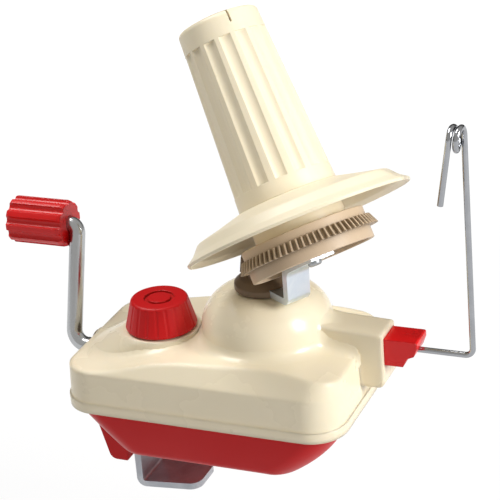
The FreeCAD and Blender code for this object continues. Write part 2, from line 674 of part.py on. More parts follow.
def crown_gear():
    """Face gear with straight radial teeth towards the pinion."""
    outer = CROWN_R + CROWN_FACE / 2
    inner = CROWN_R - CROWN_FACE / 2
    disc = turned([(0, CROWN_BACK_X, 0), (outer, CROWN_BACK_X, 0), (outer, CROWN_ROOT_X, 0),
                   (inner - 2, CROWN_ROOT_X, 0), (inner - 2, CROWN_BACK_X + 1.6, 0),
                   (ROD_R + 3, CROWN_BACK_X + 1.6, 0), (ROD_R + 3, CROWN_ROOT_X, 0), (0, CROWN_ROOT_X, 0)])
    pitch = 2 * math.pi * CROWN_R / CROWN_N
    wide = pitch * CROWN_FILL
    base = CROWN_ROOT_X - 0.2
    tip = CROWN_PITCH_X + CROWN_ADD
    tooth = side_prism([(-wide * 0.72, base, 0), (wide * 0.72, base, 0), (wide * 0.34, tip, 0),
                        (-wide * 0.34, tip, 0)], inner, outer - 0.01)
    gear = disc.fuse(ring_of(tooth, CROWN_N))
    hub = rod(ROD_R + 3, CROWN_BACK_X - 1.8, CROWN_BACK_X)
    gear = gear.fuse(hub).cut(rod(ROD_R, CROWN_BACK_X - 3, CROWN_ROOT_X + 1))
    gear.rotate(V(0, 0, 0), V(0, 1, 0), 90)
    gear = turned_by(gear, 180.0 / CROWN_N, V(0, 0, 0), V(1, 0, 0))
    gear = moved(gear, 0, AXLE_Y, CRANK_Z)
    return gear.cut(crown_pin_form())


def crown_pin_form():
    x = CROWN_BACK_X - 0.2
    return Part.makeCylinder(0.8, 2 * (ROD_R + 2.8), V(x, AXLE_Y - ROD_R - 2.8, CRANK_Z), V(0, 1, 0))


# ---------------------------------------------------------------- spindle and rotor
def centre_spindle():
    return rod(SPINDLE_R, SPINDLE_SEAT, SPINDLE_TOP, NECK_X, AXLE_Y)


def thrust_washers():
    low = tube(5.4, SPINDLE_R + RUN, SEAT_Z, SLEEVE_Z0, NECK_X, AXLE_Y)
    high = tube(BUSH_FLANGE_R, SLEEVE_NECK_R + RUN, NECK_TOP, HUB_Z0, NECK_X, AXLE_Y)
    return Part.makeCompound([low, high])


def neck_bush():
    inner = SLEEVE_NECK_R + RUN
    body = rod(inner + BUSH_WALL, NECK_TOP - BUSH_LEN, NECK_TOP, NECK_X, AXLE_Y)
    flange = rod(BUSH_FLANGE_R, NECK_TOP - BUSH_FLANGE_T, NECK_TOP, NECK_X, AXLE_Y)
    return body.fuse(flange).cut(rod(inner, NECK_TOP - BUSH_LEN - 1, NECK_TOP + 1, NECK_X, AXLE_Y))


def rotor_sleeve():
    swell = NECK_TOP - BUSH_LEN + 0.5
    sleeve = turned([(0, SLEEVE_Z0, 0), (SLEEVE_END_R, SLEEVE_Z0, 0), (SLEEVE_END_R, PINION_Z0 + PINION_H, 0),
                     (SLEEVE_R, PINION_Z0 + PINION_H, 0), (SLEEVE_R, swell - 2, 0),
                     (SLEEVE_NECK_R, swell, 0), (SLEEVE_NECK_R, HUB_Z0, 0), (SLEEVE_NECK_R - 1, HUB_Z0, 0),
                     (SLEEVE_NECK_R - 1, HUB_Z1, 0), (0, HUB_Z1, 0)])
    bore = rod(SPINDLE_R + RUN, SLEEVE_Z0 - 1, HUB_Z1 + 1)
    return on_rotor(sleeve.cut(bore))


def drive_pinion():
    root = PINION_R - CROWN_DED
    tip = PINION_R + CROWN_ADD
    wire = toothed_wire(root, tip, PINION_N, 0.52, 0.24, PINION_Z0, 180.0 - ROTOR_AZ)
    gear = Part.Face(wire).extrude(V(0, 0, PINION_H))
    return on_rotor(gear.cut(rod(SLEEVE_END_R, PINION_Z0 - 1, PINION_Z0 + PINION_H + 1)))


def rotor_hub(bracket):
    high = HUB_Z1
    rim = HUB_Z0 + HUB_RIM_H
    hub = turned([(SLEEVE_NECK_R - 1, HUB_Z0, 0), (HUB_R, HUB_Z0, 0.4), (HUB_R, rim, 0.8),
                  (HUB_R - 2.4, rim + 2.2, 3.0), (HUB_R - 4.8, high, 1.0), (SLEEVE_NECK_R - 1, high, 0)])
    return on_rotor(hub).cut(bracket)


def cone_bracket():
    """Strip bent in a Z: under the hub dome, up, and along the underside of the cone gear."""
    low = HUB_Z0 + 0.2
    out = BRACKET_OUT
    half = BRACKET_W / 2
    arm_low = -ARM_S
    arm_high = arm_low + BRACKET_T
    slope_low = outer_t(out, arm_low)
    slope_high = outer_t(out - BRACKET_T, arm_high)
    end = 7.0
    outline = [(-8.0, low), (out, low), cone_point(arm_low, slope_low), cone_point(arm_low, end),
               cone_point(arm_high, end), cone_point(arm_high, slope_high), (out - BRACKET_T, low + BRACKET_T),
               (-8.0, low + BRACKET_T)]
    radii = [0, BRACKET_T + 0.6, BRACKET_T + 0.6, 0, 0, 0.6, 0.6, 0]
    strip = side_prism([(p[0], p[1], r) for p, r in zip(outline, radii)], -half, half)
    strip = strip.cut(rod(SLEEVE_NECK_R - 1, low - 1, low + BRACKET_T + 1))
    return on_rotor(strip).cut(on_cone(rod(AXLE_PIN_R, -ARM_S - 1, -ARM_S + BRACKET_T + 1)))


def outer_t(out, s):
    """Where a line along the cone plane at height s crosses the upright at this radius."""
    return (out - APEX_D * math.sin(LEAN) + s * math.sin(LEAN)) / math.cos(LEAN)


def cone_axle():
    arm_low = -ARM_S
    arm_high = arm_low + BRACKET_T
    return on_cone(turned([(0, arm_low - 1.7, 0), (2.9, arm_low - 1.7, 1.2), (2.9, arm_low, 0),
                           (AXLE_PIN_R, arm_low, 0), (AXLE_PIN_R, arm_high, 0), (5.4, arm_high, 0),
                           (5.4, HUB_BASE_S - 0.1, 0), (AXLE_R, HUB_BASE_S - 0.1, 0),
                           (AXLE_R, SPOOL_S + 6.5, 0.5), (0, SPOOL_S + 6.5, 0)]))


def axle_clip():
    low = SPOOL_S + 4.0
    return on_cone(tube(5.2, AXLE_R, low + 0.1, low + 0.1 + CLIP_T))


# ---------------------------------------------------------------- bevel gears
def bevel_outline(distance, z, angle, teeth, phase):
    """Outline of a bevel gear cut square to its axis at a distance from the common apex."""
    pitch = distance * math.tan(angle)
    root = pitch - BEVEL_DED / math.cos(angle)
    tip = pitch + BEVEL_ADD / math.cos(angle)
    return toothed_wire(root, tip, teeth, BEVEL_FILL * 1.35, BEVEL_FILL * 0.62, z, phase)


def sun_gear():
    z0 = HUB_Z1 + 1.0
    z1 = SUN_TOP
    wires = [bevel_outline(APEX_H - z, z, SUN_CONE, SUN_N, 180.0 / SUN_N) for z in (z0, z1)]
    gear = Part.makeLoft(wires, True, True)
    foot = rod(SPINDLE_R + 3.5, HUB_Z1 + 0.3, z0)
    gear = gear.fuse(foot).cut(rod(SPINDLE_R, HUB_Z1, z1 + 1))
    return on_rotor(gear)


def sun_nut():
    z0 = SUN_TOP
    nut = hexagon(SUN_NUT_AF, z0, NUT_Z1, 0, 0)
    return on_rotor(nut.cut(rod(SPINDLE_R, z0 - 1, SPINDLE_TOP)))


def cone_gear():
    """Bevel ring with a plain band below and above and an open underside."""
    half = HALF_TOOTH
    wires = [bevel_outline(APEX_D - s, s, RING_CONE, RING_N, 180.0) for s in (-half, half)]
    teeth = Part.makeLoft(wires, True, True)
    inner_r = RING_LOW_R - RING_WALL
    web0 = -RING_WEB / 2
    web1 = RING_WEB / 2
    collar_in = COLLAR_CONE_R - WALL
    teeth = teeth.cut(rod(RING_LOW_R - 0.6, -half - 1, half + 1))
    body = turned([(AXLE_R + RUN, HUB_BASE_S, 0), (GEAR_HUB_R, HUB_BASE_S, 0), (GEAR_HUB_R, web0, 0),
                   (inner_r, web0, 0.6), (inner_r, -RING_LOW_S, 0.4), (RING_LOW_R, -RING_LOW_S, 0.5),
                   (RING_LOW_R, RING_TOP_S, 0.5), (collar_in, RING_TOP_S, 0), (collar_in, web1, 0.5),
                   (GEAR_HUB_R, web1, 0.5), (GEAR_HUB_R, SPOOL_S + 4.0, 0), (AXLE_R + RUN, SPOOL_S + 4.0, 0)])
    bosses = [tube(3.0, CONE_SCREW_R, web1 - 0.5, FLANGE_PLATE_S, CONE_SCREW_AT, 0)]
    bosses = [b for one in bosses for b in ring_of(one, 3)]
    return on_cone(body.fuse([teeth] + bosses))


def spool_flange():
    """Dished flange under the yarn, on a collar that seats on the gear."""
    r = FLANGE_R
    s = FLANGE_S
    t = FLANGE_T
    upper = [(r - 0.2, s + 0.4, 0.3), (44.0, s + 2.9, 3.0), (40.6, s + 6.7, 3.0), (34.0, s + 8.2, 20),
             (21.6, SPOOL_S, 2.0), (GEAR_HUB_R + 0.1, SPOOL_S, 0)]
    lower = [(GEAR_HUB_R + 0.1, SPOOL_S - t, 0), (21.2, SPOOL_S - t, 2.0), (33.4, s + 8.2 - t, 20),
             (38.9, s + 6.7 - t, 3.0), (42.6, s + 1.0, 3.0), (r - 0.6, s - 0.9, 0.3)]
    collar = tube(COLLAR_CONE_R, COLLAR_CONE_R - WALL, RING_TOP_S, FLANGE_PLATE_S + t / 2)
    flange = turned(upper + lower).fuse(collar)
    holes = ring_of(rod(CONE_SCREW_R + 0.05, SPOOL_S - t - 1, SPOOL_S + 1, CONE_SCREW_AT, 0), 3)
    return on_cone(flange.cut(holes))


def cone_screws():
    shank = rod(CONE_SCREW_R, SPOOL_S - CONE_SCREW_L, SPOOL_S + 0.5, CONE_SCREW_AT, 0)
    one = shank.fuse(rod(2.4, SPOOL_S, SPOOL_S + 1.4, CONE_SCREW_AT, 0))
    return on_cone(Part.makeCompound(ring_of(one, 3)))


def spool_cone():
    """Hollow fluted spool with a low cap and a slit that holds the yarn end."""
    s0 = SPOOL_S
    s1 = s0 + SPOOL_H
    cap = s1 + SPOOL_CAP
    w = SPOOL_WALL
    spool = turned([(SPOOL_R0 - w, s0, 0), (SPOOL_R0, s0, 0.3), (SPOOL_R1, s1, 2.0), (9.0, cap - 0.5, 20),
                    (0, cap, 0), (0, cap - w, 0), (8.0, cap - w - 0.5, 10), (SPOOL_R1 - w, s1 - w, 1.0)])
    lean = math.degrees(math.atan2(SPOOL_R0 - SPOOL_R1, SPOOL_H))
    rise = SPOOL_H - FLUTE_START - FLUTE_END
    start_r = SPOOL_R0 - FLUTE_START * math.tan(math.radians(lean))
    flute = turned_by(rod(FLUTE_R, 0, rise), -lean, V(0, 0, 0), V(0, 1, 0))
    flute = turned_by(moved(flute, start_r + FLUTE_R - FLUTE_DEEP, 0, s0 + FLUTE_START), FLUTE_AT)
    spool = spool.cut(ring_of(flute, FLUTE_N))
    slit = box(SPOOL_R1 - SLIT_DEEP, SPOOL_R1 + 2, -SLIT_W / 2, SLIT_W / 2, s1 - 5.0, cap + 1)
    return on_cone(spool.cut(turned_by(slit, SLIT_AT)))


# ---------------------------------------------------------------- yarn guide
def guide_plug():
    """Block that fits the end socket, stepped under the wire."""
    y0 = TONGUE_Y - PLUG_W / 2
    z0 = PLUG_Z0
    z1 = PLUG_Z1
    x1 = PLUG_X1
    outline = [(PLUG_X0, z0, 0.5), (x1 - 6.2, z0, 0.6), (x1 - 4.2, z0 + 4.0, 0.8), (x1 - 1.4, z0 + 5.2, 0.8),
               (x1, z0 + 9.0, 1.5), (x1, z1, 0.8), (PLUG_X0, z1, 0.5)]
    plug = side_prism(outline, y0, y0 + PLUG_W)
    clip = box(PLUG_X0 + 3.0, PLUG_X0 + 5.0, TONGUE_Y - 3.4, y0 + PLUG_W + 1, WIRE_Z - 3.4, WIRE_Z + 3.4)
    return plug.cut([rod_x(WIRE_R + RUN, PLUG_X0 - 1, x1 + 1, TONGUE_Y, WIRE_Z), clip])


def eye_corners():
    """Corners of a pigtail about an axis along X, its pitch lies between the two crests."""
    corners = []
    reach = EYE_R / math.cos(math.pi / EYE_SIDES)
    bend = EYE_R * 0.97
    steps = EYE_SIDES * 3 // 2
    y_mid = TONGUE_Y - EYE_R
    for i in range(steps):
        turn = math.pi / EYE_SIDES + 2 * math.pi * i / EYE_SIDES
        share = (turn - math.pi / 2) / (2 * math.pi)
        x = EYE_X - EYE_PITCH * min(max(share, 0.0), 1.0)
        corners.append((V(x, y_mid + reach * math.cos(turn), EYE_Z + reach * math.sin(turn)), bend))
    return corners


def guide_wire():
    y = TONGUE_Y
    start = V(PLUG_X0 + 1.0, y, WIRE_Z)
    route = [(start, 0), (V(POST_WIRE_X, y, WIRE_Z), 3.2)]
    route += eye_corners()
    last = route[-1][0]
    lean = math.radians(TAIL_LEAN)
    tail = V(last.x - TAIL_L * math.sin(lean), last.y, last.z - TAIL_L * math.cos(lean))
    route.append((tail, 0))
    path = rounded_wire(route, False)
    section = Part.Wire(Part.makeCircle(WIRE_R, start, V(1, 0, 0)))
    return path.makePipeShell([section], True, False)


def wire_clip():
    x0 = PLUG_X0 + 3.6
    ring = rod_x(WIRE_R + 1.6, x0, x0 + CLIP_T, TONGUE_Y, WIRE_Z)
    return ring.cut(rod_x(WIRE_R, x0 - 1, x0 + 2, TONGUE_Y, WIRE_Z))


# ---------------------------------------------------------------- output
def build():
    rod_shape = crank_rod()
    bracket = cone_bracket()
    pin = crown_pin_form()
    return {
        "top_shell": top_shell(),
        "base_tub": base_tub(),
        "housing_screws": housing_screws(),
        "clamp_knob": clamp_knob(),
        "clamp_screw": clamp_screw(),
        "knob_washer": knob_washer(),
        "screw_clip": screw_clip(),
        "clamp_jaw": clamp_jaw(),
        "jaw_nut": jaw_nut(),
        "crank_rod": rod_shape.cut(pin),
        "crank_grip": crank_grip(),
        "grip_nut": grip_nut(),
        "crank_bush": crank_bush(),
        "crank_clip": crank_clip(),
        "bearing_block": bearing_block(),
        "crown_gear": crown_gear(),
        "crown_pin": pin,
        "centre_spindle": centre_spindle(),
        "thrust_washers": thrust_washers(),
        "neck_bush": neck_bush(),
        "rotor_sleeve": rotor_sleeve(),
        "drive_pinion": drive_pinion(),
        "rotor_hub": rotor_hub(bracket),
        "cone_bracket": bracket,
        "cone_axle": cone_axle(),
        "axle_clip": axle_clip(),
        "sun_gear": sun_gear(),
        "sun_nut": sun_nut(),
        "cone_gear": cone_gear(),
        "spool_flange": spool_flange(),
        "cone_screws": cone_screws(),
        "spool_cone": spool_cone(),
        "guide_plug": guide_plug(),
        "guide_wire": guide_wire(),
        "wire_clip": wire_clip(),
    }


os.makedirs("parts", exist_ok=True)
for name, shape in build().items():
    shape.exportStep("parts/" + name + ".step")
    print(name, len(shape.Solids), round(shape.Volume, 1), shape.isValid())
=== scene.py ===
"""Looks of the hand cranked yarn cone winder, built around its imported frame."""

import math

import bpy
from mathutils import Matrix, Vector
from mathutils.bvhtree import BVHTree


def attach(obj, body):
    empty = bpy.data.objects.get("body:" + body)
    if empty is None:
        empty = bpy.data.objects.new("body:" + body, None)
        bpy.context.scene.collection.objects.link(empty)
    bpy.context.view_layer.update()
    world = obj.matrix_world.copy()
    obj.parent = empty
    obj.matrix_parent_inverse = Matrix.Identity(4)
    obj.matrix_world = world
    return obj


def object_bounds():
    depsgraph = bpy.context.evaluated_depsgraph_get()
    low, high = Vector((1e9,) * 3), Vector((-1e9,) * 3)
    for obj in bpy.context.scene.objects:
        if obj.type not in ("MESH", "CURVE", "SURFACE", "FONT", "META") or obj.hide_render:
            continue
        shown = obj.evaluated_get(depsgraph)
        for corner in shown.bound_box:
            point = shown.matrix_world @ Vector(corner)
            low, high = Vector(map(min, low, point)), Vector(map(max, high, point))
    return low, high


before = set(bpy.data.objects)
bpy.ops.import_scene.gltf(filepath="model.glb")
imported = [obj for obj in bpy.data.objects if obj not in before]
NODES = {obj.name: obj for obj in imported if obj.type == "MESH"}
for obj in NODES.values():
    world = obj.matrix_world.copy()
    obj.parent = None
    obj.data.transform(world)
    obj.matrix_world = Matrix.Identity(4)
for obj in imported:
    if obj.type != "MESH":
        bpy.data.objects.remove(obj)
CAD_LOW, CAD_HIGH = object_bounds()

# ---- colours, red green blue from 0 to 255 ---------------------------------------
CREAM = (243, 231, 203)
CREAM_WORN = (236, 221, 188)
# Lighter edge colour of the cream: partly rubbing wear, partly painted highlight.
CREAM_BRIGHT = (249, 242, 222)
RED = (204, 12, 16)
RED_DEEP = (176, 6, 10)
# Lighter edge colour of the red tub and knob: partly rubbing wear, partly painted highlight.
RED_BRIGHT = (224, 44, 42)
RED_FRESH = (226, 14, 16)
# Lighter edge colour of the grip and guide plug: partly rubbing wear, partly painted highlight.
RED_GLINT = (236, 62, 58)
GEAR_TAN = (205, 183, 156)
# Drift colour of the gear, and also the hub's edge colour, which is partly wear and partly painted highlight.
GEAR_DUST_AND_EDGE_LIGHT = (176, 150, 120)
# Lighter edge colour of the gear: partly rubbing wear, partly painted highlight.
GEAR_PALE = (222, 206, 184)
# The tan gear plastic in its shaded tone: painted shade on the hub, inner gears and bushes under the flange.
HUB_SHADED_TAN = (128, 108, 86)
HUB_DARK = (92, 76, 60)
ZINC = (226, 234, 240)
ZINC_BLUE = (198, 212, 226)
JAW_ZINC = (196, 200, 206)
JAW_ZINC_DULL = (150, 158, 168)
STEEL = (188, 190, 192)
STEEL_DARK = (120, 122, 124)
WIRE_BRIGHT = (170, 172, 176)
WIRE_DARK = (96, 98, 104)
# Brown that the painted shade in hollows mixes in.
SHADE_BROWN = (92, 76, 58)
STAGE_PAPER = (203, 203, 203)


def paint(rgb):
    """A colour from 0 to 255 as the linear RGBA that sockets take."""
    out = []
    for value in rgb:
        c = value / 255.0
        out.append(c / 12.92 if c <= 0.04045 else ((c + 0.055) / 1.055) ** 2.4)
    return (*out, 1.0)


# ---- node helpers ---------------------------------------------------------------------------
def new_group(name, inputs, outputs):
    """An empty shader node group with named sockets, each given as (name, kind, value)."""
    group = bpy.data.node_groups.new(name, "ShaderNodeTree")
    for label, kind, value in inputs:
        socket = group.interface.new_socket(name=label, in_out="INPUT", socket_type=kind)
        if value is not None:
            socket.default_value = value
    for label, kind in outputs:
        group.interface.new_socket(name=label, in_out="OUTPUT", socket_type=kind)
    start = group.nodes.new("NodeGroupInput")
    end = group.nodes.new("NodeGroupOutput")
    return group, start, end


def add(tree, kind, **values):
    """A node with its plain attributes and, where the name is a socket's, its values set."""
    node = tree.nodes.new(kind)
    for name, value in values.items():
        if hasattr(node, name):
            setattr(node, name, value)
        else:
            node.inputs[name.replace("_", " ")].default_value = value
    return node


def mix_colour(tree, factor, a, b, blend="MIX"):
    node = tree.nodes.new("ShaderNodeMix")
    node.data_type = "RGBA"
    node.blend_type = blend
    for index, source in ((0, factor), (6, a), (7, b)):
        if isinstance(source, bpy.types.NodeSocket):
            tree.links.new(source, node.inputs[index])
        else:
            node.inputs[index].default_value = source
    return node.outputs[2]


def maths(tree, operation, a, b=None, clamp=False):
    node = tree.nodes.new("ShaderNodeMath")
    node.operation = operation
    node.use_clamp = clamp
    for index, source in ((0, a), (1, b)):
        if source is None:
            continue
        if isinstance(source, bpy.types.NodeSocket):
            tree.links.new(source, node.inputs[index])
        else:
            node.inputs[index].default_value = source
    return node.outputs[0]


def spread(tree, value, low, high, to_low=0.0, to_high=1.0):
    """Value from the range low..high moved to the range to_low..to_high, clamped."""
    node = tree.nodes.new("ShaderNodeMapRange")
    tree.links.new(value, node.inputs["Value"])
    node.inputs["From Min"].default_value = low
    node.inputs["From Max"].default_value = high
    node.inputs["To Min"].default_value = to_low
    node.inputs["To Max"].default_value = to_high
    return node.outputs["Result"]


# ---- shared effects ---------------------------------------------------------------------------
def moulded_skin_group():
    """Faint colour drift, sink marks and fine orange peel of an injection moulding."""
    group, start, end = new_group(
        "moulded_skin",
        [("Base", "NodeSocketColor", (0.8, 0.8, 0.8, 1)), ("Drift", "NodeSocketColor", (0.7, 0.7, 0.7, 1)),
         ("Drift Amount", "NodeSocketFloat", 0.35), ("Patch Scale", "NodeSocketFloat", 28.0),
         ("Peel Scale", "NodeSocketFloat", 900.0), ("Gloss", "NodeSocketFloat", 0.28)],
        [("Color", "NodeSocketColor"), ("Roughness", "NodeSocketFloat"), ("Height", "NodeSocketFloat")])
    place = add(group, "ShaderNodeTexCoord").outputs["Object"]
    link = group.links.new
    patches = add(group, "ShaderNodeTexNoise", Detail=4.0, Roughness=0.55)
    link(place, patches.inputs["Vector"])
    link(start.outputs["Patch Scale"], patches.inputs["Scale"])
    patchy = spread(group, patches.outputs["Fac"], 0.32, 0.7)
    amount = maths(group, "MULTIPLY", patchy, start.outputs["Drift Amount"])
    link(mix_colour(group, amount, start.outputs["Base"], start.outputs["Drift"]), end.inputs["Color"])
    peel = add(group, "ShaderNodeTexNoise", Detail=2.0, Roughness=0.5)
    link(place, peel.inputs["Vector"])
    link(start.outputs["Peel Scale"], peel.inputs["Scale"])
    sink = add(group, "ShaderNodeTexNoise", Detail=1.0, Scale=60.0)
    link(place, sink.inputs["Vector"])
    height = maths(group, "ADD", maths(group, "MULTIPLY", peel.outputs["Fac"], 0.25),
                   maths(group, "MULTIPLY", sink.outputs["Fac"], 0.6))
    link(height, end.inputs["Height"])
    scuff = spread(group, patches.outputs["Fac"], 0.35, 0.75, -0.04, 0.09)
    link(maths(group, "ADD", start.outputs["Gloss"], scuff), end.inputs["Roughness"])
    return group


def edge_wear_and_highlight_group():
    """1 along outward edges, broken up by small nicks: rubbed corners, and the painted highlight that
    lightens them.
    """
    group, start, end = new_group(
        "edge_wear_and_highlight",
        [("Reach", "NodeSocketFloat", 0.5), ("Break Scale", "NodeSocketFloat", 300.0),
         ("Edge Width", "NodeSocketFloat", 0.0007)],
        [("Mask", "NodeSocketFloat")])
    link = group.links.new
    rounded = add(group, "ShaderNodeBevel", samples=4)
    link(start.outputs["Edge Width"], rounded.inputs["Radius"])
    turn = add(group, "ShaderNodeVectorMath", operation="DOT_PRODUCT")
    link(rounded.outputs["Normal"], turn.inputs[0])
    link(add(group, "ShaderNodeNewGeometry").outputs["Normal"], turn.inputs[1])
    worn_lit_edge = spread(group, turn.outputs["Value"], 0.985, 0.8)
    nicks = add(group, "ShaderNodeTexNoise", Detail=3.0)
    place = add(group, "ShaderNodeTexCoord").outputs["Object"]
    link(place, nicks.inputs["Vector"])
    link(start.outputs["Break Scale"], nicks.inputs["Scale"])
    broken = spread(group, nicks.outputs["Fac"], 0.38, 0.6)
    link(maths(group, "MULTIPLY", maths(group, "MULTIPLY", worn_lit_edge, broken), start.outputs["Reach"], clamp=True),
         end.inputs["Mask"])
    return group


def plated_metal_group():
    """Cloudy plating with fine drawn lines along one axis and small dull spots."""
    group, start, end = new_group(
        "plated_metal",
        [("Base", "NodeSocketColor", (0.7, 0.7, 0.7, 1)), ("Cloud", "NodeSocketColor", (0.5, 0.55, 0.6, 1)),
         ("Cloud Scale", "NodeSocketFloat", 90.0), ("Cloud Amount", "NodeSocketFloat", 0.5),
         ("Line Stretch", "NodeSocketVector", (1.0, 1.0, 0.03)), ("Line Scale", "NodeSocketFloat", 1400.0),
         ("Gloss", "NodeSocketFloat", 0.3)],
        [("Color", "NodeSocketColor"), ("Roughness", "NodeSocketFloat"), ("Height", "NodeSocketFloat")])
    link = group.links.new
    place = add(group, "ShaderNodeTexCoord").outputs["Object"]
    cloud = add(group, "ShaderNodeTexNoise", Detail=5.0, Roughness=0.6, Distortion=0.6)
    link(place, cloud.inputs["Vector"])
    link(start.outputs["Cloud Scale"], cloud.inputs["Scale"])
    cloudy = spread(group, cloud.outputs["Fac"], 0.35, 0.65)
    amount = maths(group, "MULTIPLY", cloudy, start.outputs["Cloud Amount"])
    link(mix_colour(group, amount, start.outputs["Base"], start.outputs["Cloud"]), end.inputs["Color"])
    stretch = add(group, "ShaderNodeVectorMath", operation="MULTIPLY")
    link(place, stretch.inputs[0])
    link(start.outputs["Line Stretch"], stretch.inputs[1])
    lines = add(group, "ShaderNodeTexNoise", Detail=2.0)
    link(stretch.outputs[0], lines.inputs["Vector"])
    link(start.outputs["Line Scale"], lines.inputs["Scale"])
    link(lines.outputs["Fac"], end.inputs["Height"])
    uneven = spread(group, cloud.outputs["Fac"], 0.3, 0.7, -0.05, 0.1)
    rough = maths(group, "ADD", start.outputs["Gloss"], uneven)
    rough = maths(group, "ADD", rough, spread(group, lines.outputs["Fac"], 0.3, 0.7, -0.03, 0.03))
    link(rough, end.inputs["Roughness"])
    return group


def hollow_shade_group():
    """Painted shade: hollows, found by local occlusion, turn towards a brown."""
    group, start, end = new_group(
        "hollow_shade",
        [("Depth", "NodeSocketFloat", 0.004), ("Amount", "NodeSocketFloat", 0.7)],
        [("Mask", "NodeSocketFloat")])
    hollow = add(group, "ShaderNodeAmbientOcclusion", samples=6)
    hollow.only_local = True
    group.links.new(start.outputs["Depth"], hollow.inputs["Distance"])
    shade = spread(group, hollow.outputs["AO"], 0.85, 0.35)
    group.links.new(maths(group, "MULTIPLY", shade, start.outputs["Amount"], clamp=True), end.inputs["Mask"])
    return group


MOULDED_SKIN = moulded_skin_group()
EDGE_WEAR_AND_HIGHLIGHT = edge_wear_and_highlight_group()
PLATED_METAL = plated_metal_group()
HOLLOW_SHADE = hollow_shade_group()


# ---- materials ---------------------------------------------------------------------------------
def place_group(tree, group, **values):
    node = tree.nodes.new("ShaderNodeGroup")
    node.node_tree = group
    for name, value in values.items():
        node.inputs[name.replace("_", " ")].default_value = value
    return node


def blank_material(name):
    material = bpy.data.materials.new(name)
    material.use_nodes = True
    tree = material.node_tree
    shader = tree.nodes["Principled BSDF"]
    return material, tree, shader


def bump(tree, height, shader, strength, distance):
    node = add(tree, "ShaderNodeBump", Strength=strength, Distance=distance)
    tree.links.new(height, node.inputs["Height"])
    tree.links.new(node.outputs["Normal"], shader.inputs["Normal"])
    return node


def moulded_plastic(name, base, drift, rubbed_and_lit, gloss, patch_scale=28.0, peel=0.12, hollow_shade=0.0, subsurface=0.0,
                    coat=0.0, drift_amount=0.1, soft=0.0004, shine=0.5, rub_and_highlight=0.35):
    """Opaque moulded plastic with edges lightened by wear and a painted highlight, and painted shade in its
    hollows.
    """
    material, tree, shader = blank_material(name)
    skin = place_group(tree, MOULDED_SKIN, Base=paint(base), Drift=paint(drift), Gloss=gloss,
                       Patch_Scale=patch_scale, Drift_Amount=drift_amount)
    # Outward edges take the lighter rubbed colour: partly wear, partly a painted highlight.
    worn_lit_edge = place_group(tree, EDGE_WEAR_AND_HIGHLIGHT, Reach=rub_and_highlight)
    colour = mix_colour(tree, worn_lit_edge.outputs["Mask"], skin.outputs["Color"], paint(rubbed_and_lit))
    if hollow_shade:
        # Painted shade: hollows darkened towards a brown.
        hollow_dark = place_group(tree, HOLLOW_SHADE, Amount=hollow_shade)
        colour = mix_colour(tree, hollow_dark.outputs["Mask"], colour, paint(SHADE_BROWN))
    tree.links.new(colour, shader.inputs["Base Color"])
    tree.links.new(skin.outputs["Roughness"], shader.inputs["Roughness"])
    skin_bump = bump(tree, skin.outputs["Height"], shader, peel, 0.0002)
    eased = add(tree, "ShaderNodeBevel", samples=4, Radius=soft)
    tree.links.new(eased.outputs["Normal"], skin_bump.inputs["Normal"])
    shader.inputs["IOR"].default_value = 1.5
    shader.inputs["Specular IOR Level"].default_value = shine
    if subsurface:
        shader.inputs["Subsurface Weight"].default_value = subsurface
        shader.inputs["Subsurface Radius"].default_value = (1.0, 0.8, 0.5)
        shader.inputs["Subsurface Scale"].default_value = 0.0012
    if coat:
        shader.inputs["Coat Weight"].default_value = coat
        shader.inputs["Coat Roughness"].default_value = 0.08
    return material


def bare_metal(name, base, cloud, gloss, cloud_amount=0.5, cloud_scale=90.0, stretch=(1.0, 1.0, 0.03),
               lines=0.03, hollow_shade=0.0, metal=1.0):
    """Plated or drawn steel."""
    material, tree, shader = blank_material(name)
    plate = place_group(tree, PLATED_METAL, Base=paint(base), Cloud=paint(cloud), Cloud_Amount=cloud_amount,
                        Cloud_Scale=cloud_scale, Line_Stretch=stretch, Gloss=gloss)
    colour = plate.outputs["Color"]
    if hollow_shade:
        # Painted shade: hollows darkened towards a brown.
        hollow_dark = place_group(tree, HOLLOW_SHADE, Amount=hollow_shade, Depth=0.003)
        colour = mix_colour(tree, hollow_dark.outputs["Mask"], colour, paint(SHADE_BROWN))
    tree.links.new(colour, shader.inputs["Base Color"])
    tree.links.new(plate.outputs["Roughness"], shader.inputs["Roughness"])
    shader.inputs["Metallic"].default_value = metal
    bump(tree, plate.outputs["Height"], shader, lines, 0.0001)
    return material


CREAM_SHELL = moulded_plastic("cream_shell", CREAM, CREAM_WORN, CREAM_BRIGHT, 0.26, subsurface=0.1,
                              soft=0.003, peel=0.05)
CREAM_BLEND = moulded_plastic("cream_blend", CREAM, CREAM_WORN, CREAM_BRIGHT, 0.26, subsurface=0.1,
                              soft=0.0001, peel=0.05)
CREAM_SPOOL = moulded_plastic("cream_spool", CREAM, CREAM_WORN, CREAM_BRIGHT, 0.42, subsurface=0.1, peel=0.08)
RED_TUB = moulded_plastic("red_tub", RED, RED_DEEP, RED_BRIGHT, 0.34, shine=0.22, soft=0.0012, peel=0.05)
RED_GRIP = moulded_plastic("red_grip", RED_FRESH, RED, RED_GLINT, 0.28, hollow_shade=0.2, shine=0.4, peel=0.06)
RED_KNOB = moulded_plastic("red_knob", RED, RED_DEEP, RED_BRIGHT, 0.36, hollow_shade=0.2, shine=0.3, peel=0.06)
TAN_GEAR = moulded_plastic("tan_gear", GEAR_TAN, GEAR_DUST_AND_EDGE_LIGHT, GEAR_PALE, 0.45, patch_scale=60.0,
                           hollow_shade=0.75, shine=0.3)
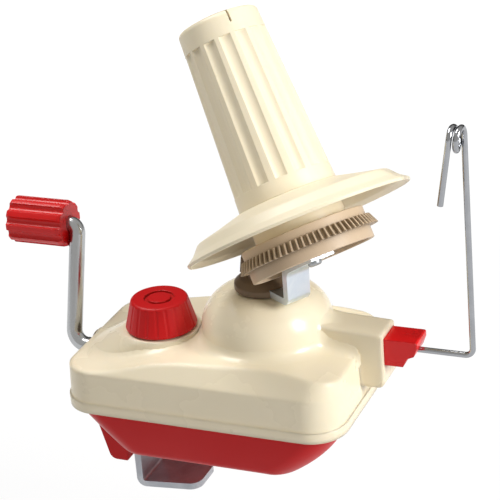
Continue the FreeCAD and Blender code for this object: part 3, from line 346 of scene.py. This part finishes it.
# Painted shade: a darker copy of the tan gear plastic, for the hub, inner gears and bushes.
SHADED_TAN_HUB = moulded_plastic("tan_hub_painted_shade", HUB_SHADED_TAN, HUB_DARK, GEAR_DUST_AND_EDGE_LIGHT, 0.45, patch_scale=60.0,
                          hollow_shade=0.75, shine=0.3)
ZINC_PLATE = bare_metal("zinc_plate", ZINC, ZINC_BLUE, 0.34, hollow_shade=0.3)
JAW_PLATE = bare_metal("jaw_plate", JAW_ZINC, JAW_ZINC_DULL, 0.4, cloud_amount=0.4, hollow_shade=0.1, metal=0.5)
CRANK_STEEL = bare_metal("crank_steel", STEEL, STEEL_DARK, 0.2, cloud_amount=0.2, cloud_scale=40.0)
DRAWN_WIRE = bare_metal("drawn_wire", WIRE_BRIGHT, WIRE_DARK, 0.12, cloud_amount=0.15)
INNER_STEEL = bare_metal("inner_steel", STEEL, STEEL_DARK, 0.35, hollow_shade=0.5)

DRESS = {
    "top_shell": CREAM_SHELL, "base_tub": RED_TUB, "clamp_knob": RED_KNOB, "crank_grip": RED_GRIP,
    "guide_plug": RED_GRIP, "spool_cone": CREAM_SPOOL, "spool_flange": CREAM_SPOOL,
    "cone_gear": TAN_GEAR, "sun_gear": SHADED_TAN_HUB, "rotor_hub": SHADED_TAN_HUB, "crown_gear": SHADED_TAN_HUB,
    "drive_pinion": SHADED_TAN_HUB, "neck_bush": SHADED_TAN_HUB, "crank_bush": SHADED_TAN_HUB, "bearing_block": RED_TUB,
    "cone_bracket": ZINC_PLATE, "clamp_jaw": JAW_PLATE, "crank_rod": CRANK_STEEL, "guide_wire": DRAWN_WIRE,
}
for name, node in NODES.items():
    node.data.materials.clear()
    node.data.materials.append(DRESS.get(name, INNER_STEEL))


# ---- soft blends where the neck, the knob boss and the guide hood meet the roof ----------------------
BLEND_CELL = 0.0008         # grid of the remeshed shell
BLEND_ROUNDS = 150          # rounds of smoothing
BLEND_SINK = 0.00008        # the skin lies this far inside its smoothed place
BLEND_HEM = 0.00035         # the skin runs this far under the shell at its edge
BLEND_WALL = 0.0006
BLEND_CRUMB = 150           # a patch of fewer faces is dropped
CLEAR_SKY = 0.0006          # the look upwards starts this far above the skin
NECK_AXIS = (0.01875, 0.0035)
NECK_CLEAR = 0.0165         # nothing is added nearer to the turning hub
KNOB_AXIS = (-0.0265, -0.0055)
KNOB_CLEAR = 0.0170         # nothing is added nearer to the turning knob
ROOF_LOW = 0.0385           # blends lie above this height on the roof
HOOD_LOW = 0.0305           # and above this one past the start of the hood's end
HOOD_END_X = 0.056


def only(thing):
    """Make one object the selected and active one."""
    bpy.ops.object.select_all(action="DESELECT")
    thing.select_set(True)
    bpy.context.view_layer.objects.active = thing


def apply_modifier(thing, kind, **values):
    only(thing)
    modifier = thing.modifiers.new(kind.lower(), kind)
    for name, value in values.items():
        setattr(modifier, name, value)
    bpy.ops.object.modifier_apply(modifier=modifier.name)


def delete_picked(thing, kind):
    only(thing)
    bpy.ops.object.mode_set(mode="EDIT")
    bpy.ops.mesh.delete(type=kind)
    bpy.ops.object.mode_set(mode="OBJECT")


def merged_copy(node, name):
    """A copy of a node's mesh with its loose triangles joined."""
    copy = node.copy()
    copy.data = node.data.copy()
    copy.name = name
    bpy.context.scene.collection.objects.link(copy)
    only(copy)
    bpy.ops.object.mode_set(mode="EDIT")
    bpy.ops.mesh.select_all(action="SELECT")
    bpy.ops.mesh.remove_doubles(threshold=1e-6)
    bpy.ops.object.mode_set(mode="OBJECT")
    return copy


def keep_wide_patches(skin):
    """Drop the crumbs that lie apart from the coves."""
    only(skin)
    bpy.ops.object.mode_set(mode="EDIT")
    bpy.ops.mesh.select_all(action="SELECT")
    bpy.ops.mesh.separate(type="LOOSE")
    bpy.ops.object.mode_set(mode="OBJECT")
    patches = list(bpy.context.selected_objects)
    wide = [patch for patch in patches if len(patch.data.polygons) > BLEND_CRUMB]
    for patch in patches:
        if patch not in wide:
            bpy.data.objects.remove(patch)
    bpy.ops.object.select_all(action="DESELECT")
    for patch in wide:
        patch.select_set(True)
    bpy.context.view_layer.objects.active = wide[0]
    if len(wide) > 1:
        bpy.ops.object.join()
    wide[0].name = "shell_blend"
    return wide[0]


def blend_wanted(point, rise, open_above):
    """Whether a point of the softened skin belongs to a blend."""
    if rise < -BLEND_HEM or not open_above:
        return False
    if point.z < (HOOD_LOW if point.x > HOOD_END_X else ROOF_LOW):
        return False
    if math.hypot(point.x - NECK_AXIS[0], point.y - NECK_AXIS[1]) < NECK_CLEAR:
        return False
    return math.hypot(point.x - KNOB_AXIS[0], point.y - KNOB_AXIS[1]) > KNOB_CLEAR


def shell_blend():
    """Coves along the roof: the softened skin of the shell, kept only where it fills a crease."""
    shell = NODES["top_shell"]
    skin = merged_copy(shell, "shell_blend")
    hard = BVHTree.FromObject(skin, bpy.context.evaluated_depsgraph_get())
    apply_modifier(skin, "REMESH", mode="VOXEL", voxel_size=BLEND_CELL, use_smooth_shade=True)
    apply_modifier(skin, "SMOOTH", factor=0.5, iterations=BLEND_ROUNDS)
    soft = BVHTree.FromObject(skin, bpy.context.evaluated_depsgraph_get())
    up = Vector((0, 0, 1))
    normals = [vertex.normal.copy() for vertex in skin.data.vertices]
    unwanted = []
    for vertex, outward in zip(skin.data.vertices, normals):
        point = vertex.co - outward * BLEND_SINK
        near, facing = hard.find_nearest(point)[:2]
        start = point + up * CLEAR_SKY
        open_above = soft.ray_cast(start, up)[0] is None and hard.ray_cast(start, up)[0] is None
        unwanted.append(not blend_wanted(point, (point - near).dot(facing), open_above))
        vertex.co = point
    skin.data.vertices.foreach_set("select", unwanted)
    delete_picked(skin, "VERT")
    skin = keep_wide_patches(skin)
    apply_modifier(skin, "SOLIDIFY", thickness=BLEND_WALL, offset=-1.0)
    only(skin)
    bpy.ops.object.shade_smooth_by_angle(angle=math.radians(50))
    return skin


SHELL_BLEND = shell_blend()
SHELL_BLEND.data.materials.clear()
SHELL_BLEND.data.materials.append(CREAM_BLEND)
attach(SHELL_BLEND, "housing")


# ---- floor, lamps and camera ---------------------------------------------------------------------
CRANK_ROOM = 0.045          # the lowered crank and jaw stay above the floor
FLOOR_Z = CAD_LOW.z - CRANK_ROOM
PAPER_GLOW = 1.1
PAPER_NEAR = 0.25           # inside this distance the paper shows the shadow
PAPER_FAR = 0.8             # past this distance it is plain white
PAPER_NEAR_WHITE = 0.8
PAPER_MIRRORED = 0.8
ROOM_DIM = 0.28
ROOM_SHINE = 0.6
ROOM_DARK = 0.04
ROOM_TINT = (1.0, 0.975, 0.93, 1)
ROOM_BRIGHT_SIDE = (0.5, -0.6, 0.6)


def studio_paper():
    """White paper: plain white to the camera and to mirrors, a soft shadow, no extra light on the winder."""
    material, tree, shader = blank_material("studio_paper")
    shader.inputs["Base Color"].default_value = paint(STAGE_PAPER)
    shader.inputs["Roughness"].default_value = 0.9
    glow = add(tree, "ShaderNodeEmission", Strength=PAPER_GLOW)
    blend = tree.nodes.new("ShaderNodeMixShader")
    path = tree.nodes.new("ShaderNodeLightPath")
    mirrored = maths(tree, "MULTIPLY", path.outputs["Is Glossy Ray"], PAPER_MIRRORED)
    seen = maths(tree, "MAXIMUM", path.outputs["Is Camera Ray"], mirrored)
    seen = maths(tree, "MAXIMUM", seen, path.outputs["Is Transmission Ray"])
    reach = add(tree, "ShaderNodeVectorMath", operation="LENGTH")
    tree.links.new(tree.nodes.new("ShaderNodeTexCoord").outputs["Object"], reach.inputs[0])
    fade = spread(tree, reach.outputs["Value"], PAPER_NEAR, PAPER_FAR, PAPER_NEAR_WHITE, 1.0)
    tree.links.new(maths(tree, "MULTIPLY", seen, fade), blend.inputs[0])
    tree.links.new(shader.outputs[0], blend.inputs[1])
    tree.links.new(glow.outputs[0], blend.inputs[2])
    tree.links.new(blend.outputs[0], tree.nodes["Material Output"].inputs["Surface"])
    return material


def floor():
    bpy.ops.object.select_all(action="DESELECT")
    bpy.ops.mesh.primitive_plane_add(size=6.0, location=(0, 0, FLOOR_Z))
    sheet = bpy.context.object
    sheet.name = "floor"
    bpy.ops.object.transform_apply(location=True)
    sheet.data.materials.append(studio_paper())


def room_light():
    """Even, dim room light with a dark side that only shiny metal shows; white to the camera."""
    world = bpy.data.worlds.new("room")
    bpy.context.scene.world = world
    world.use_nodes = True
    tree = world.node_tree
    back = tree.nodes["Background"]
    path = tree.nodes.new("ShaderNodeLightPath")
    seen = maths(tree, "MAXIMUM", path.outputs["Is Camera Ray"], path.outputs["Is Transmission Ray"])
    side = add(tree, "ShaderNodeVectorMath", operation="DOT_PRODUCT")
    tree.links.new(tree.nodes.new("ShaderNodeTexCoord").outputs["Generated"], side.inputs[0])
    side.inputs[1].default_value = ROOM_BRIGHT_SIDE
    mirrored = spread(tree, side.outputs["Value"], -0.35, 0.15, ROOM_DARK, ROOM_SHINE)
    shiny = path.outputs["Is Glossy Ray"]
    dull = maths(tree, "SUBTRACT", 1.0, shiny)
    plain = maths(tree, "ADD", maths(tree, "MULTIPLY", shiny, mirrored),
                  maths(tree, "MULTIPLY", dull, ROOM_DIM))
    strength = maths(tree, "MAXIMUM", seen, plain)
    tree.links.new(strength, back.inputs["Strength"])
    tree.links.new(mix_colour(tree, seen, ROOM_TINT, (1, 1, 1, 1)), back.inputs["Color"])


def lamp(name, place, aim, width, height, watts):
    """A white soft box that faces the aim."""
    light = bpy.data.lights.new(name, "AREA")
    light.shape = "RECTANGLE"
    light.size = width
    light.size_y = height
    light.energy = watts
    holder = bpy.data.objects.new(name, light)
    bpy.context.scene.collection.objects.link(holder)
    holder.location = place
    holder.rotation_euler = (Vector(aim) - Vector(place)).to_track_quat("-Z", "Y").to_euler()


CAMERA_AZ = 24.06
CAMERA_EL = 24.18
CAMERA_ROLL = -4.59
CAMERA_AIM = (-0.0014, 0.0362, 0.0703)
CAMERA_AWAY = 0.7883
CAMERA_LENS = 130.5


def camera():
    data = bpy.data.cameras.new("camera")
    data.lens = CAMERA_LENS
    data.clip_start = 0.05
    data.clip_end = 20.0
    eye = bpy.data.objects.new("camera", data)
    bpy.context.scene.collection.objects.link(eye)
    az, el = math.radians(CAMERA_AZ), math.radians(CAMERA_EL)
    back = Vector((math.sin(az) * math.cos(el), -math.cos(az) * math.cos(el), math.sin(el)))
    eye.location = Vector(CAMERA_AIM) + back * CAMERA_AWAY
    level = (-back).to_track_quat("-Z", "Y").to_matrix().to_4x4()
    roll = Matrix.Rotation(math.radians(CAMERA_ROLL), 4, "Z")
    eye.rotation_euler = (level @ roll).to_euler()
    bpy.context.scene.camera = eye


floor()
room_light()
lamp("top_softbox", (-0.42, 0.05, 1.0), (0, 0, 0.06), 0.5, 0.5, 7.0)
lamp("side_softbox", (1.0, -0.12, 0.55), (0, 0, 0.06), 0.35, 0.5, 11.5)
camera()
bpy.context.scene.view_settings.view_transform = "Standard"
